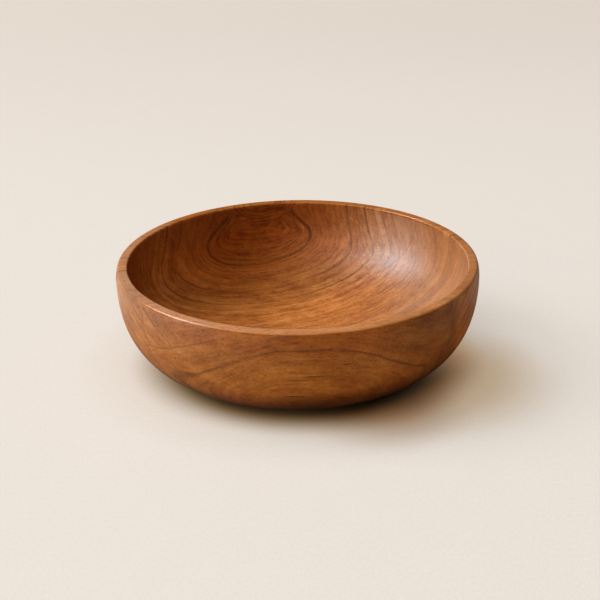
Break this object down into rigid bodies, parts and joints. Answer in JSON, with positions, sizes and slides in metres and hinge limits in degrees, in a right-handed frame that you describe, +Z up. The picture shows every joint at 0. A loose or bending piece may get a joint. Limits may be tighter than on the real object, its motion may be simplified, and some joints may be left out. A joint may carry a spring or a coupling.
{
  "type": "wooden serving bowl",
  "caption": "Low round wooden serving bowl with a full belly, flat rim and flat base, turned from boards glued edge to edge.",
  "frame": {"origin": "middle of the flat base, on the surface that the bowl stands on", "axes": "+Z up along the turning axis, +X along the fibres of the boards, +Y from the front board to the back board"},
  "size_m": [0.256, 0.256, 0.079],
  "materials": {
    "wood": "satin oiled, fibres left to right",
    "glue": "cured adhesive, sanded flush"
  },
  "bodies": {
    "root": {"front_board": "wood", "front_middle_board": "wood", "centre_board": "wood", "back_middle_board": "wood", "back_board": "wood", "front_glue_line": "glue", "front_middle_glue_line": "glue", "back_middle_glue_line": "glue", "back_glue_line": "glue"}
  },
  "joints": []
}
